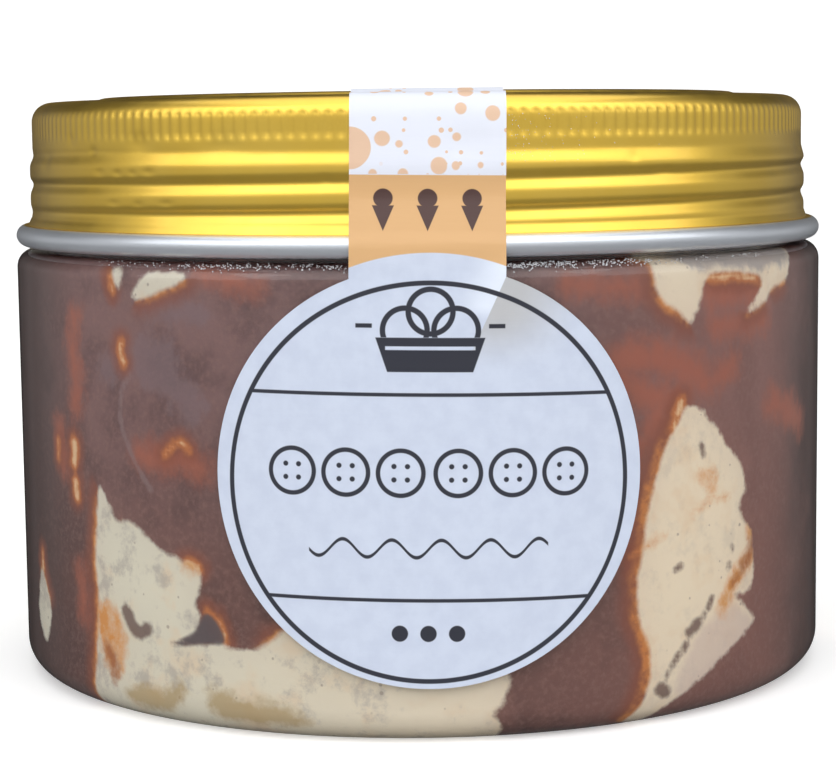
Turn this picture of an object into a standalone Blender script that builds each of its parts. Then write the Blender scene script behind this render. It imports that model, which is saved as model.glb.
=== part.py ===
"""A squat clear jar of marbled gelato under a gold screw lid, sealed by a keyhole-shaped label.

Metres, +Z up. The origin is the centre of the jar's base, on the surface it stands on,
and the label faces -Y. The lid is screwed home and the label is stuck down over it.
"""

import math

import bmesh
import bpy
from mathutils import Matrix

MM = 0.001

# Clear plastic jar
JAR_RADIUS = 42.5 * MM
WALL = 0.85 * MM
BASE_CORNER = 3.0 * MM
BASE_THICKNESS = 1.2 * MM
FOOT_INNER_RADIUS = 36.4 * MM
PUNT_RADIUS = 33.0 * MM
PUNT_RISE = 1.5 * MM
SHOULDER_TOP = 44.0 * MM
SHOULDER_RADIUS = 2.5 * MM
NECK_RADIUS = 39.4 * MM
NECK_WALL = 1.1 * MM
RIM_TOP = 58.3 * MM
RIM_CHAMFER = 0.3 * MM

# Gelato, filled to just under the rim
GELATO_TOP = 55.5 * MM
CLEARANCE = 0.3 * MM

# Spun aluminium screw lid
LID_TOP = 59.5 * MM
LID_RIM_TOP = 59.1 * MM
LID_SHEET = 0.45 * MM
LID_BAND_RADIUS = 40.6 * MM
LID_CORNER = 2.0 * MM
PANEL_RADIUS = 33.2 * MM
PANEL_STEP = 1.0 * MM
KNURL_TOP = 57.3 * MM
KNURL_BOTTOM = 55.3 * MM
KNURL_DEPTH = 0.2 * MM
KNURLS_PER_SEGMENT = 2
THREAD_ZONE_TOP = 54.4 * MM
THREAD_ZONE_BOTTOM = 47.3 * MM
THREAD_PITCH = 3.15 * MM
THREAD_FRONT_HEIGHT = 49.4 * MM
THREAD_RISE = 0.65 * MM
THREAD_FADE = 0.9 * MM
SKIRT_RADIUS_UPPER = 40.25 * MM
SKIRT_RADIUS_LOWER = 40.4 * MM
CURL_RADIUS = 1.1 * MM
CURL_HEIGHT = 45.45 * MM
CURL_OUTER_RADIUS = 42.5 * MM

# One-piece label: a round face with a strip that climbs over the lid
LABEL_RADIUS = 19.9 * MM
LABEL_CENTRE_HEIGHT = 24.8 * MM
LABEL_THICKNESS = 0.2 * MM
STRIP_WIDTH = 14.4 * MM
STRIP_REACH_ON_TOP = 13.0 * MM

# Fineness of the meshes
JAR_SEGMENTS = 64
LID_SEGMENTS = 100
SKIRT_ROWS = 10
LABEL_COLUMNS = 10
LABEL_FACE_ROWS = 16
LABEL_FOOT_ANGLE = math.radians(5)
SHARP_ANGLE = math.radians(35)
MERGE_DISTANCE = 0.01 * MM


def clear_scene():
    for obj in list(bpy.data.objects):
        bpy.data.objects.remove(obj, do_unlink=True)


def make_collection(name):
    collection = bpy.data.collections.new(name)
    bpy.context.scene.collection.children.link(collection)
    return collection


def make_material(name, colour, roughness, metallic=0.0, transmission=0.0):
    material = bpy.data.materials.new(name)
    material.use_nodes = True
    shader = material.node_tree.nodes["Principled BSDF"]
    shader.inputs["Base Color"].default_value = (*colour, 1.0)
    shader.inputs["Roughness"].default_value = roughness
    shader.inputs["Metallic"].default_value = metallic
    shader.inputs["Transmission Weight"].default_value = transmission
    material.diffuse_color = (*colour, 1.0)
    return material


def arc(centre, radius, start_degrees, end_degrees, steps):
    """Points (r, z) on an arc, 0 degrees pointing away from the axis and 90 degrees up."""
    points = []
    for step in range(steps + 1):
        angle = math.radians(start_degrees + (end_degrees - start_degrees) * step / steps)
        points.append((centre[0] + radius * math.cos(angle), centre[1] + radius * math.sin(angle)))
    return points


def smooth_step(value, low, high):
    share = min(1.0, max(0.0, (value - low) / (high - low)))
    return share * share * (3 - 2 * share)


def add_object(name, mesh, material, collection):
    obj = bpy.data.objects.new(name, mesh)
    collection.objects.link(obj)
    mesh.materials.append(material)
    return obj


def turned(name, profile, segments, material, collection):
    """A solid of revolution. The profile of (r, z) points runs down its outer side."""
    mesh = bpy.data.meshes.new(name)
    points = [(radius, 0.0, height) for radius, height in profile]
    edges = [(index, index + 1) for index in range(len(points) - 1)]
    mesh.from_pydata(points, edges, [])
    obj = add_object(name, mesh, material, collection)
    screw = obj.modifiers.new("turn", "SCREW")
    screw.axis = "Z"
    screw.steps = segments
    screw.render_steps = segments
    screw.use_merge_vertices = True
    screw.merge_threshold = MERGE_DISTANCE
    screw.use_smooth_shade = True
    return obj


def bake_modifiers(obj):
    """Replaces the object's mesh by what its modifiers make of it."""
    graph = bpy.context.evaluated_depsgraph_get()
    made = bpy.data.meshes.new_from_object(obj.evaluated_get(graph))
    obj.modifiers.clear()
    obj.data = made


def shoulder_centre():
    return (JAR_RADIUS - SHOULDER_RADIUS, SHOULDER_TOP - SHOULDER_RADIUS)


def jar_profile():
    """From the middle of the inner floor, up the inside, over the rim and down the outside."""
    neck_inner = NECK_RADIUS - NECK_WALL
    corner = (JAR_RADIUS - BASE_CORNER, BASE_CORNER)
    inner_corner_radius = BASE_CORNER - WALL
    inner_corner = (corner[0], BASE_THICKNESS + inner_corner_radius)
    inside = [
        (0.0, PUNT_RISE + BASE_THICKNESS),
        (PUNT_RADIUS, PUNT_RISE + BASE_THICKNESS),
        (FOOT_INNER_RADIUS, BASE_THICKNESS),
        *arc(inner_corner, inner_corner_radius, -90, 0, 2),
        *arc(shoulder_centre(), SHOULDER_RADIUS - WALL, 0, 90, 2),
        (neck_inner, SHOULDER_TOP - WALL + NECK_WALL),
    ]
    rim = [
        (neck_inner, RIM_TOP - RIM_CHAMFER),
        (neck_inner + RIM_CHAMFER, RIM_TOP),
        (NECK_RADIUS - RIM_CHAMFER, RIM_TOP),
        (NECK_RADIUS, RIM_TOP - RIM_CHAMFER),
    ]
    outside = [
        (NECK_RADIUS, SHOULDER_TOP),
        *arc(shoulder_centre(), SHOULDER_RADIUS, 90, 0, 3),
        *arc(corner, BASE_CORNER, 0, -90, 4),
        (FOOT_INNER_RADIUS, 0.0),
        (PUNT_RADIUS, PUNT_RISE),
        (0.0, PUNT_RISE),
    ]
    return inside + rim + outside


def gelato_profile():
    """The inside of the jar less the clearance, from the top of the fill down to the floor."""
    neck = NECK_RADIUS - NECK_WALL - CLEARANCE
    corner_radius = BASE_CORNER - WALL - CLEARANCE
    floor = BASE_THICKNESS + CLEARANCE
    corner = (JAR_RADIUS - BASE_CORNER, floor + corner_radius)
    return [
        (0.0, GELATO_TOP),
        (neck, GELATO_TOP),
        (neck, SHOULDER_TOP - WALL),
        *arc(shoulder_centre(), SHOULDER_RADIUS - WALL - CLEARANCE, 90, 0, 2),
        *arc(corner, corner_radius, 0, -90, 2),
        (FOOT_INNER_RADIUS, floor),
        (PUNT_RADIUS, PUNT_RISE + floor),
        (0.0, PUNT_RISE + floor),
    ]


def skirt_radius(height):
    """Radius of the lid's skirt between the threads, which widens a little towards the curl."""
    share = (THREAD_ZONE_TOP - height) / (THREAD_ZONE_TOP - THREAD_ZONE_BOTTOM)
    return SKIRT_RADIUS_UPPER + (SKIRT_RADIUS_LOWER - SKIRT_RADIUS_UPPER) * share


def lid_profile():
    """From the middle of the top, down the skirt, round the curl and up the inside."""
    corner = (LID_BAND_RADIUS - LID_CORNER, LID_RIM_TOP - LID_CORNER)
    curl = (CURL_OUTER_RADIUS - CURL_RADIUS, CURL_HEIGHT)
    inner_radius = SKIRT_RADIUS_UPPER - LID_SHEET
    inner_corner = LID_CORNER - LID_SHEET
    inner_corner_start = math.degrees(math.acos((inner_radius - corner[0]) / inner_corner))
    panel = [
        (0.0, LID_TOP),
        (PANEL_RADIUS, LID_TOP),
        (PANEL_RADIUS + PANEL_STEP, LID_RIM_TOP),
    ]
    band = [*arc(corner, LID_CORNER, 90, 0, 4), (LID_BAND_RADIUS, KNURL_BOTTOM)]
    zone = THREAD_ZONE_TOP - THREAD_ZONE_BOTTOM
    heights = [THREAD_ZONE_TOP - zone * row / SKIRT_ROWS for row in range(SKIRT_ROWS + 1)]
    skirt = [(skirt_radius(height), height) for height in heights]
    curl_roll = arc(curl, CURL_RADIUS, 100, -150, 6)
    inside = [
        (inner_radius, CURL_HEIGHT + CURL_RADIUS / 2),
        *arc(corner, inner_corner, inner_corner_start, 90, 2),
        (0.0, LID_RIM_TOP - LID_SHEET),
    ]
    return panel + band + skirt + curl_roll + inside


def thread_swell(angle, height):
    """How far the rolled thread stands out, a ridge that climbs one pitch in each turn."""
    turns = (height - THREAD_FRONT_HEIGHT) / THREAD_PITCH - angle / (2 * math.pi)
    ridge = 0.5 + 0.5 * math.cos(2 * math.pi * turns)
    fade_in = smooth_step(height, THREAD_ZONE_BOTTOM - THREAD_FADE / 2, THREAD_ZONE_BOTTOM + THREAD_FADE / 2)
    fade_out = smooth_step(height, THREAD_ZONE_TOP, THREAD_ZONE_TOP - THREAD_FADE)
    return THREAD_RISE * ridge * fade_in * fade_out


def distance_from_axis(vertex):
    return math.hypot(vertex.co.x, vertex.co.y)


def angle_from_front(vertex):
    """Angle about the axis, 0 at the label and growing towards +X."""
    return math.atan2(vertex.co.x, -vertex.co.y)


def push_out(vertex, distance):
    share = 1 + distance / distance_from_axis(vertex)
    vertex.co.x *= share
    vertex.co.y *= share


def roll_thread(lid_mesh):
    """Swells the outer skirt along the thread's helix. The inner face stays a plain cylinder."""
    outside = SKIRT_RADIUS_UPPER - LID_SHEET / 2
    for vertex in lid_mesh.verts:
        in_zone = THREAD_ZONE_BOTTOM - MERGE_DISTANCE < vertex.co.z < THREAD_ZONE_TOP + MERGE_DISTANCE
        if in_zone and distance_from_axis(vertex) > outside:
            push_out(vertex, thread_swell(angle_from_front(vertex), vertex.co.z))


def band_geometry(lid_mesh):
    """The vertices, edges and faces that lie wholly in the lid's outer band."""
    outside = LID_BAND_RADIUS - LID_SHEET / 2
    kept = [vertex for vertex in lid_mesh.verts if distance_from_axis(vertex) > outside]
    for item in lid_mesh.edges[:] + lid_mesh.faces[:]:
        if all(distance_from_axis(vertex) > outside for vertex in item.verts):
            kept.append(item)
    return kept


def knurl_band(lid_mesh):
    """Presses upright grooves into the band below the lid's top corner."""
    edge_room = KNURL_DEPTH / 2
    levels = (KNURL_TOP - edge_room - LID_CORNER / 4, KNURL_BOTTOM + edge_room)
    rings = []
    for level in levels:
        cut = bmesh.ops.bisect_plane(
            lid_mesh, geom=band_geometry(lid_mesh), plane_co=(0, 0, level), plane_no=(0, 0, 1)
        )
        rings += [item for item in cut["geom_cut"] if isinstance(item, bmesh.types.BMEdge)]
    bmesh.ops.subdivide_edges(lid_mesh, edges=rings, cuts=2 * KNURLS_PER_SEGMENT - 1, use_grid_fill=True)
    column_angle = math.pi / (KNURLS_PER_SEGMENT * LID_SEGMENTS)
    for vertex in lid_mesh.verts:
        on_level = any(abs(vertex.co.z - level) < MERGE_DISTANCE for level in levels)
        if on_level and distance_from_axis(vertex) > LID_BAND_RADIUS - LID_SHEET / 2:
            column = round(angle_from_front(vertex) / column_angle)
            to_round = LID_BAND_RADIUS - distance_from_axis(vertex)
            push_out(vertex, to_round - KNURL_DEPTH * (column % 2))


def make_lid(material, collection):
    lid = turned("screw_lid", lid_profile(), LID_SEGMENTS, material, collection)
    bake_modifiers(lid)
    lid_mesh = bmesh.new()
    lid_mesh.from_mesh(lid.data)
    knurl_band(lid_mesh)
    roll_thread(lid_mesh)
    lid_mesh.to_mesh(lid.data)
    lid_mesh.free()
    lid.data.shade_smooth()
    lid.data.set_sharp_from_angle(angle=SHARP_ANGLE)


def label_path():
    """Side view (r, z) of the label's inner face, from its lowest point to its end on the lid."""
    corner = (LID_BAND_RADIUS - LID_CORNER, LID_RIM_TOP - LID_CORNER)
    curl = (CURL_OUTER_RADIUS - CURL_RADIUS, CURL_HEIGHT)
    ridge_radius = skirt_radius(THREAD_FRONT_HEIGHT) + THREAD_RISE
    return [
        (JAR_RADIUS + CLEARANCE, LABEL_CENTRE_HEIGHT - LABEL_RADIUS),
        *arc(curl, CURL_RADIUS + CLEARANCE, 0, 60, 3),
        (ridge_radius + CLEARANCE, THREAD_FRONT_HEIGHT),
        (LID_BAND_RADIUS + CLEARANCE, KNURL_BOTTOM),
        *arc(corner, LID_CORNER + CLEARANCE, 0, 90, 4),
        (PANEL_RADIUS + PANEL_STEP + CLEARANCE, LID_RIM_TOP + CLEARANCE),
        (PANEL_RADIUS + CLEARANCE, LID_TOP + CLEARANCE),
        (LID_BAND_RADIUS - STRIP_REACH_ON_TOP, LID_TOP + CLEARANCE),
    ]


def lengths_along(path):
    """Distance of each point of the path from its start."""
    lengths = [0.0]
    for before, after in zip(path, path[1:]):
        lengths.append(lengths[-1] + math.dist(before, after))
    return lengths


def point_along(path, lengths, distance):
    index = 1
    while index < len(path) - 1 and distance > lengths[index]:
        index += 1
    share = (distance - lengths[index - 1]) / (lengths[index] - lengths[index - 1])
    before, after = path[index - 1], path[index]
    return [before[axis] + (after[axis] - before[axis]) * share for axis in (0, 1)]


def label_rows(lengths):
    """(distance up the label, half its width there) for each row of its grid."""
    half_strip = STRIP_WIDTH / 2
    meets_strip = math.pi - math.asin(half_strip / LABEL_RADIUS)
    rows = []
    for row in range(LABEL_FACE_ROWS + 1):
        angle = LABEL_FOOT_ANGLE + (meets_strip - LABEL_FOOT_ANGLE) * row / LABEL_FACE_ROWS
        rows.append((LABEL_RADIUS * (1 - math.cos(angle)), LABEL_RADIUS * math.sin(angle)))
    bends = [length for length in lengths if length > rows[-1][0] + MERGE_DISTANCE]
    return rows + [(length, half_strip) for length in bends]


def make_label(material, collection):
    """Wraps a grid round the jar and over the lid. Each row keeps the jar's curve."""
    path = label_path()
    lengths = lengths_along(path)
    rows = label_rows(lengths)
    bend_radius = JAR_RADIUS + CLEARANCE
    label_mesh = bmesh.new()
    bmesh.ops.create_grid(
        label_mesh, x_segments=LABEL_COLUMNS, y_segments=len(rows) - 1, size=1.0, matrix=Matrix()
    )
    for vertex in label_mesh.verts:
        row = round((vertex.co.y + 1) / 2 * (len(rows) - 1))
        distance, half_width = rows[row]
        turn = vertex.co.x * half_width / bend_radius
        radius, height = point_along(path, lengths, distance)
        set_back = bend_radius * (1 - math.cos(turn))
        vertex.co = (bend_radius * math.sin(turn), set_back - radius, height)
    mesh = bpy.data.meshes.new("seal_label")
    label_mesh.to_mesh(mesh)
    label_mesh.free()
    label = add_object("seal_label", mesh, material, collection)
    if mesh.polygons[0].normal.y > 0:
        mesh.flip_normals()
    thickness = label.modifiers.new("thickness", "SOLIDIFY")
    thickness.thickness = LABEL_THICKNESS
    thickness.offset = 1.0
    thickness.use_even_offset = True
    mesh.shade_smooth()
    mesh.set_sharp_from_angle(angle=SHARP_ANGLE)


def main():
    clear_scene()
    parts = make_collection("gelato_jar")
    clear_plastic = make_material("clear_plastic", (0.93, 0.95, 0.96), 0.08, transmission=1.0)
    chocolate_and_cream = make_material("chocolate_and_cream", (0.16, 0.075, 0.06), 0.45)
    gold_aluminium = make_material("gold_aluminium", (0.80, 0.58, 0.16), 0.28, metallic=1.0)
    label_paper = make_material("label_paper", (0.74, 0.79, 0.88), 0.5)
    turned("jar", jar_profile(), JAR_SEGMENTS, clear_plastic, parts)
    turned("gelato", gelato_profile(), JAR_SEGMENTS, chocolate_and_cream, parts)
    make_lid(gold_aluminium, parts)
    make_label(label_paper, parts)


main()
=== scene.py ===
"""Looks of the gelato jar: clear plastic round marbled gelato, a gold rolled lid and a seal label.

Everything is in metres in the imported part's frame: the jar stands on z = 0 and the label faces -Y.
Places on the jar's wall are given unrolled, in millimetres: how far round from the label's middle
(towards +X is positive) and how far up the wall, where the wall runs on down under the base.
"""

import math

import bpy
import numpy as np
from mathutils import Matrix, Vector


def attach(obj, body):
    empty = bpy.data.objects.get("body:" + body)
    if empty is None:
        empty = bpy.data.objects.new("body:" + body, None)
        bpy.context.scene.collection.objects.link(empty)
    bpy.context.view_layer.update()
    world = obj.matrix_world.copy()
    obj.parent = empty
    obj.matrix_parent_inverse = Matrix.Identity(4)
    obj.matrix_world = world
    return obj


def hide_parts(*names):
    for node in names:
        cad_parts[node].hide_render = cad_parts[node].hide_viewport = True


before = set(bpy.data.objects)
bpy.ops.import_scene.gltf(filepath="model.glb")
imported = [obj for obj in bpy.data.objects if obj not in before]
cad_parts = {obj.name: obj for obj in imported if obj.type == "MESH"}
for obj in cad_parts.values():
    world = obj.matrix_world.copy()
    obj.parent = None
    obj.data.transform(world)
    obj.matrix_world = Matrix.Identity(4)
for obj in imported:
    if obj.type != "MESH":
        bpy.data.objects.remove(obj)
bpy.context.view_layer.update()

MM = 0.001
TURN = 2 * math.pi

# Jar
JAR_RADIUS = 42.5 * MM
WALL = 0.85 * MM
BASE_CORNER = 3.0 * MM
BASE_THICKNESS = 1.2 * MM
FOOT_INNER_RADIUS = 36.4 * MM
PUNT_RADIUS = 33.0 * MM
PUNT_RISE = 1.5 * MM
SHOULDER_TOP = 43.95 * MM
SHOULDER_RADIUS = 1.75 * MM
NECK_RADIUS = 39.4 * MM
NECK_WALL = 1.1 * MM
RIM_TOP = 58.3 * MM
RIM_CHAMFER = 0.3 * MM

# Gelato, which reaches this far into the wall so that no air shows between them
GELATO_TOP = 55.5 * MM
INTO_WALL = 0.3 * MM

# Lid
LID_TOP = 59.5 * MM
LID_RIM_TOP = 59.1 * MM
LID_SHEET = 0.45 * MM
LID_BAND_RADIUS = 40.6 * MM
LID_CORNER = 2.0 * MM
PANEL_RADIUS = 33.2 * MM
PANEL_STEP = 1.0 * MM
KNURL_TOP = 57.9 * MM
KNURL_BOTTOM = 55.2 * MM
KNURL_DEPTH = 0.15 * MM
KNURLS = 216
SKIRT_RADIUS_UPPER = 40.6 * MM
SKIRT_RADIUS_LOWER = 40.92 * MM
SKIRT_WIDENS_FROM = 54.2 * MM
SKIRT_WIDENS_TO = 52.6 * MM
SKIRT_BOTTOM = 47.3 * MM
THREAD_PITCH = 2.8 * MM
GROOVE_FRONT_HEIGHT = 51.35 * MM
GROOVE_DEPTH = 0.33 * MM
# Turns from the front over which the groove grows in and runs out, and the powers that shape it
# above and below its deepest line
GROOVE_STARTS = (-1.4, -1.05)
GROOVE_ENDS = (0.6, 0.95)
GROOVE_STEEP_ABOVE = 3.4
GROOVE_STEEP_BELOW = 1.5
CURL_RADIUS = 1.1 * MM
CURL_HEIGHT = 45.45 * MM
CURL_OUTER_RADIUS = 42.5 * MM
GOLD_ENDS = 46.5 * MM
SKIRT_ROWS = 44
# Each dent: degrees round from the front, height, half width, half height and depth in millimetres
DENTS = [
    (-41, 54.9, 1.5, 0.8, 0.12), (-57, 55.2, 0.7, 0.5, 0.07), (-51, 54.2, 0.6, 0.45, 0.07),
    (-49, 52.2, 0.7, 0.35, 0.06), (-45, 52.1, 0.6, 0.3, 0.07), (-42, 52.1, 0.5, 0.3, 0.06),
    (-39, 52.2, 0.7, 0.35, 0.06), (-46, 49.3, 0.8, 0.3, 0.05), (-41, 49.2, 0.6, 0.3, 0.05),
    (-36, 49.3, 0.8, 0.3, 0.05), (-27, 54.6, 2.0, 0.9, 0.06), (-66, 53, 1.2, 0.9, 0.06),
    (-13, 51.6, 0.4, 0.3, 0.05), (28, 53.2, 0.5, 0.4, 0.06), (33, 51.9, 1.0, 0.3, 0.06),
]

# Label, drawn flat. Its round face lies round LABEL_MIDDLE and is a little wider than tall. The way
# that it is wrapped along starts just below it, WRAP_STARTS_BELOW under (0, 0), and (0, 0) comes to
# lie at LABEL_CENTRE_HEIGHT on the jar.
WRAP_STARTS_BELOW = 19.85 * MM
LABEL_HALF_WIDTH = 20.2 * MM
LABEL_HALF_HEIGHT = 19.3 * MM
LABEL_MIDDLE = (0.1 * MM, -0.2 * MM)
LABEL_CENTRE_HEIGHT = 24.8 * MM
LABEL_THICKNESS = 0.14 * MM
LABEL_STANDS_OFF = 0.05 * MM
STRIP_WIDTH = 14.15 * MM
STRIP_MIDDLE = -0.3 * MM
STRIP_STARTS_AT = 15.88 * MM
STRIP_REACH_ON_TOP = 13.0 * MM
LABEL_LEAN = math.radians(-1.0)
LABEL_SHIFT = -0.1 * MM
# Heights on the wrapped label: where the strip's orange field ends, and the middle of its cones
ORANGE_TOP = 51.9 * MM
CONE_HEIGHT = 48.8 * MM
# Print, in millimetres on the flat label. The ring is RING_WIDER times as wide as it is tall. It is
# round on a map stretched upwards by as much, and RING_CENTRE is a place on that map.
RING_WIDER = 1.027
RING_CENTRE = (0.05, -0.67 * RING_WIDER)
RING_RADIUS = 18.62
RING_LINE = 0.46
RULE_HEIGHTS = (7.4, -11.35)
RULE_HALF_LINE = 0.17
BISCUITS_ACROSS = (-12.6, -7.6, -2.6, 2.6, 7.6, 12.6)
BISCUIT_HEIGHT = 0.3
BISCUIT_RADIUS = 2.05
WAVE_HEIGHT = -6.6
DOTS_ACROSS = (-2.6, 0.0, 2.6)
DOTS_HEIGHT = -14.4
CONES_ACROSS = (-4.3, -0.3, 3.7)
CONE_SIZE = 2.1
# The fold at the label's upper right: its ends on the flat label, and the unit normal and offset
# # of the line beside which light and shade are painted
FOLD_FROM = (7.1, 18.9)
FOLD_TO = (5.5, 15.1)
CREASE_NORMAL = (0.911, -0.412)
CREASE_OFFSET = 1.26

# Stretches of dew on the shoulder: from and to, in millimetres round from the front, and how many
DEW_ON_SHOULDER = [(-24.0, -7.4, 230), (7.3, 14.0, 260), (14.0, 22.0, 130), (-36.0, -24.0, 50),
                   (22.0, 38.0, 50)]
DEW_ON_LID = 110
# How far up the round of the shoulder the drops sit, in degrees, with its spread, and the least and
# greatest radius of a drop in millimetres
DEW_LEAN = (56, 9)
SHOULDER_DROPS = (0.03, 0.1)
LID_DROPS = (0.02, 0.055)
DEW_SEED = 12

# Steps round the axis
JAR_STEPS = 256
LID_STEPS = 4 * KNURLS
GELATO_STEPS = 600

# How far outside a shape of the marbling its depth is still worked out, in millimetres
FAR = 4.0


# Modelling helpers

def deselect():
    bpy.ops.object.select_all(action="DESELECT")


def select_only(piece):
    deselect()
    piece.select_set(True)
    bpy.context.view_layer.objects.active = piece


def arc(centre, radius, start_degrees, end_degrees, steps):
    """Points (r, z) on an arc, 0 degrees pointing away from the axis and 90 degrees up."""
    points = []
    for step in range(steps + 1):
        angle = math.radians(start_degrees + (end_degrees - start_degrees) * step / steps)
        points.append((centre[0] + radius * math.cos(angle), centre[1] + radius * math.sin(angle)))
    return points


def run(start, end, steps):
    """Points on a straight run, without its first point."""
    return [
        (start[0] + (end[0] - start[0]) * step / steps, start[1] + (end[1] - start[1]) * step / steps)
        for step in range(1, steps + 1)
    ]


def turned(name, profile, steps):
    """Draws a profile of (r, z) points by extruding one vertex along it, then turns it round Z."""
    deselect()
    bpy.ops.mesh.primitive_plane_add(size=MM, location=(0, 0, 0))
    piece = bpy.context.object
    piece.name = name
    piece.data.name = name
    bpy.ops.object.mode_set(mode="EDIT")
    bpy.ops.mesh.select_all(action="SELECT")
    bpy.ops.mesh.merge(type="CENTER")
    bpy.ops.transform.translate(value=(profile[0][0], 0, profile[0][1]))
    for before, after in zip(profile, profile[1:]):
        move = (after[0] - before[0], 0, after[1] - before[1])
        bpy.ops.mesh.extrude_region_move(TRANSFORM_OT_translate={"value": move})
    bpy.ops.object.mode_set(mode="OBJECT")
    turn = piece.modifiers.new("turn", "SCREW")
    turn.steps = steps
    turn.render_steps = steps
    turn.use_merge_vertices = True
    turn.merge_threshold = 0.001 * MM
    bpy.ops.object.modifier_apply(modifier="turn")
    bpy.ops.object.mode_set(mode="EDIT")
    bpy.ops.mesh.select_all(action="SELECT")
    bpy.ops.mesh.remove_doubles(threshold=0.001 * MM)
    bpy.ops.mesh.normals_make_consistent(inside=False)
    bpy.ops.object.mode_set(mode="OBJECT")
    bpy.ops.object.shade_smooth_by_angle(angle=math.radians(40))
    return piece


def places(piece):
    """The piece's vertices as an array with a row for each."""
    flat = np.empty(len(piece.data.vertices) * 3)
    piece.data.vertices.foreach_get("co", flat)
    return flat.reshape(-1, 3)


def set_places(piece, points):
    piece.data.vertices.foreach_set("co", points.ravel())
    piece.data.update()


def smooth_step(values, low, high):
    share = np.clip((values - low) / (high - low), 0, 1)
    return share * share * (3 - 2 * share)


# Material helpers

def srgb(red, green, blue):
    """A colour given as 0-255 screen values, as the shader's linear values."""
    linear = []
    for value in (red, green, blue):
        value = value / 255
        linear.append(value / 12.92 if value <= 0.04045 else ((value + 0.055) / 1.055) ** 2.4)
    return (*linear, 1.0)


class Wiring:
    """Adds nodes to one node tree and joins them up."""

    def __init__(self, tree):
        self.nodes = tree.nodes
        self.links = tree.links
        self.shader = self.nodes.get("Principled BSDF")

    def put(self, socket, value):
        if isinstance(value, bpy.types.NodeSocket):
            self.links.new(value, socket)
        else:
            socket.default_value = value

    def math(self, operation, first, second=0.0, third=0.0, clamp=False):
        node = self.nodes.new("ShaderNodeMath")
        node.operation = operation
        node.use_clamp = clamp
        for socket, value in zip(node.inputs, (first, second, third)):
            self.put(socket, value)
        return node.outputs[0]

    def ramp(self, value, low, high, smooth=True, lowest=0.0):
        """0, or the lowest value given, below low, and 1 above high."""
        node = self.nodes.new("ShaderNodeMapRange")
        node.interpolation_type = "SMOOTHSTEP" if smooth else "LINEAR"
        self.put(node.inputs["Value"], value)
        self.put(node.inputs["From Min"], low)
        self.put(node.inputs["From Max"], high)
        self.put(node.inputs["To Min"], lowest)
        return node.outputs["Result"]

    def mix(self, share, first, second):
        node = self.nodes.new("ShaderNodeMix")
        node.data_type = "RGBA"
        self.put(node.inputs["Factor"], share)
        self.put(node.inputs["A"], first)
        self.put(node.inputs["B"], second)
        return node.outputs["Result"]

    def tinted(self, colour, tint, value, low, high, share=1.0):
        """The colour, with none of the tint where the value is low and a share of it where high."""
        return self.mix(self.both(self.ramp(value, low, high), share), colour, tint)

    def split(self, vector):
        """The vector's X, Y and Z."""
        node = self.nodes.new("ShaderNodeSeparateXYZ")
        self.put(node.inputs[0], vector)
        return tuple(node.outputs)

    def attribute(self, name):
        node = self.nodes.new("ShaderNodeAttribute")
        node.attribute_name = name
        return node.outputs["Fac"]

    def layer(self, name, uneven, times, plus=0.0):
        """How deep in a layer of the marbling, made ragged by an uneven value."""
        return self.math("ADD", self.attribute(name), self.math("MULTIPLY_ADD", uneven, times, plus))

    def object_place(self, stretch=(1, 1, 1)):
        """Object coordinates in millimetres, stretched."""
        coordinates = self.nodes.new("ShaderNodeTexCoord")
        mapping = self.nodes.new("ShaderNodeMapping")
        mapping.inputs["Scale"].default_value = [share / MM for share in stretch]
        self.links.new(coordinates.outputs["Object"], mapping.inputs["Vector"])
        return mapping.outputs["Vector"]

    def noise(self, place, per_mm, detail=3.0, roughness=0.55):
        node = self.nodes.new("ShaderNodeTexNoise")
        self.put(node.inputs["Vector"], place)
        node.inputs["Scale"].default_value = per_mm
        node.inputs["Detail"].default_value = detail
        node.inputs["Roughness"].default_value = roughness
        return node.outputs["Fac"]

    def cells(self, place, per_mm, randomness=1.0, dimensions="3D"):
        """Distance to the nearest cell's middle, and two random values of that cell's own."""
        node = self.nodes.new("ShaderNodeTexVoronoi")
        node.voronoi_dimensions = dimensions
        self.put(node.inputs["Vector"], place)
        node.inputs["Scale"].default_value = per_mm
        node.inputs["Randomness"].default_value = randomness
        split = self.nodes.new("ShaderNodeSeparateColor")
        self.links.new(node.outputs["Color"], split.inputs[0])
        return node.outputs["Distance"], split.outputs[0], split.outputs[1]

    def disc(self, flat, centre, radius, soft=0.05):
        """1 inside a circle on the flat map."""
        node = self.nodes.new("ShaderNodeVectorMath")
        node.operation = "DISTANCE"
        self.put(node.inputs[0], flat)
        node.inputs[1].default_value = (*centre, 0.0)
        return self.ramp(node.outputs["Value"], radius + soft, radius - soft)

    def band(self, value, middle, half_width, soft=0.05):
        """1 where the value is within half_width of the middle."""
        away = self.math("ABSOLUTE", self.math("SUBTRACT", value, middle))
        return self.ramp(away, half_width + soft, half_width - soft)

    def both(self, first, second):
        return self.math("MULTIPLY", first, second)

    def either(self, *masks):
        whole = masks[0]
        for mask in masks[1:]:
            whole = self.math("MAXIMUM", whole, mask)
        return whole

    def without(self, first, second):
        return self.math("MULTIPLY", first, self.math("SUBTRACT", 1.0, second))

    def bump(self, height, strength, distance):
        node = self.nodes.new("ShaderNodeBump")
        self.put(node.inputs["Height"], height)
        node.inputs["Strength"].default_value = strength
        node.inputs["Distance"].default_value = distance
        return node.outputs["Normal"]

    def surface(self, values):
        """Sets the shader's sockets, or joins nodes to them."""
        for name, value in values.items():
            self.put(self.shader.inputs[name], value)


def new_material(name):
    """A material, and the wiring of its nodes."""
    material = bpy.data.materials.new(name)
    material.use_nodes = True
    return material, Wiring(material.node_tree)


# Jar

def shoulder_centre():
    return (JAR_RADIUS - SHOULDER_RADIUS, SHOULDER_TOP - SHOULDER_RADIUS)


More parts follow.
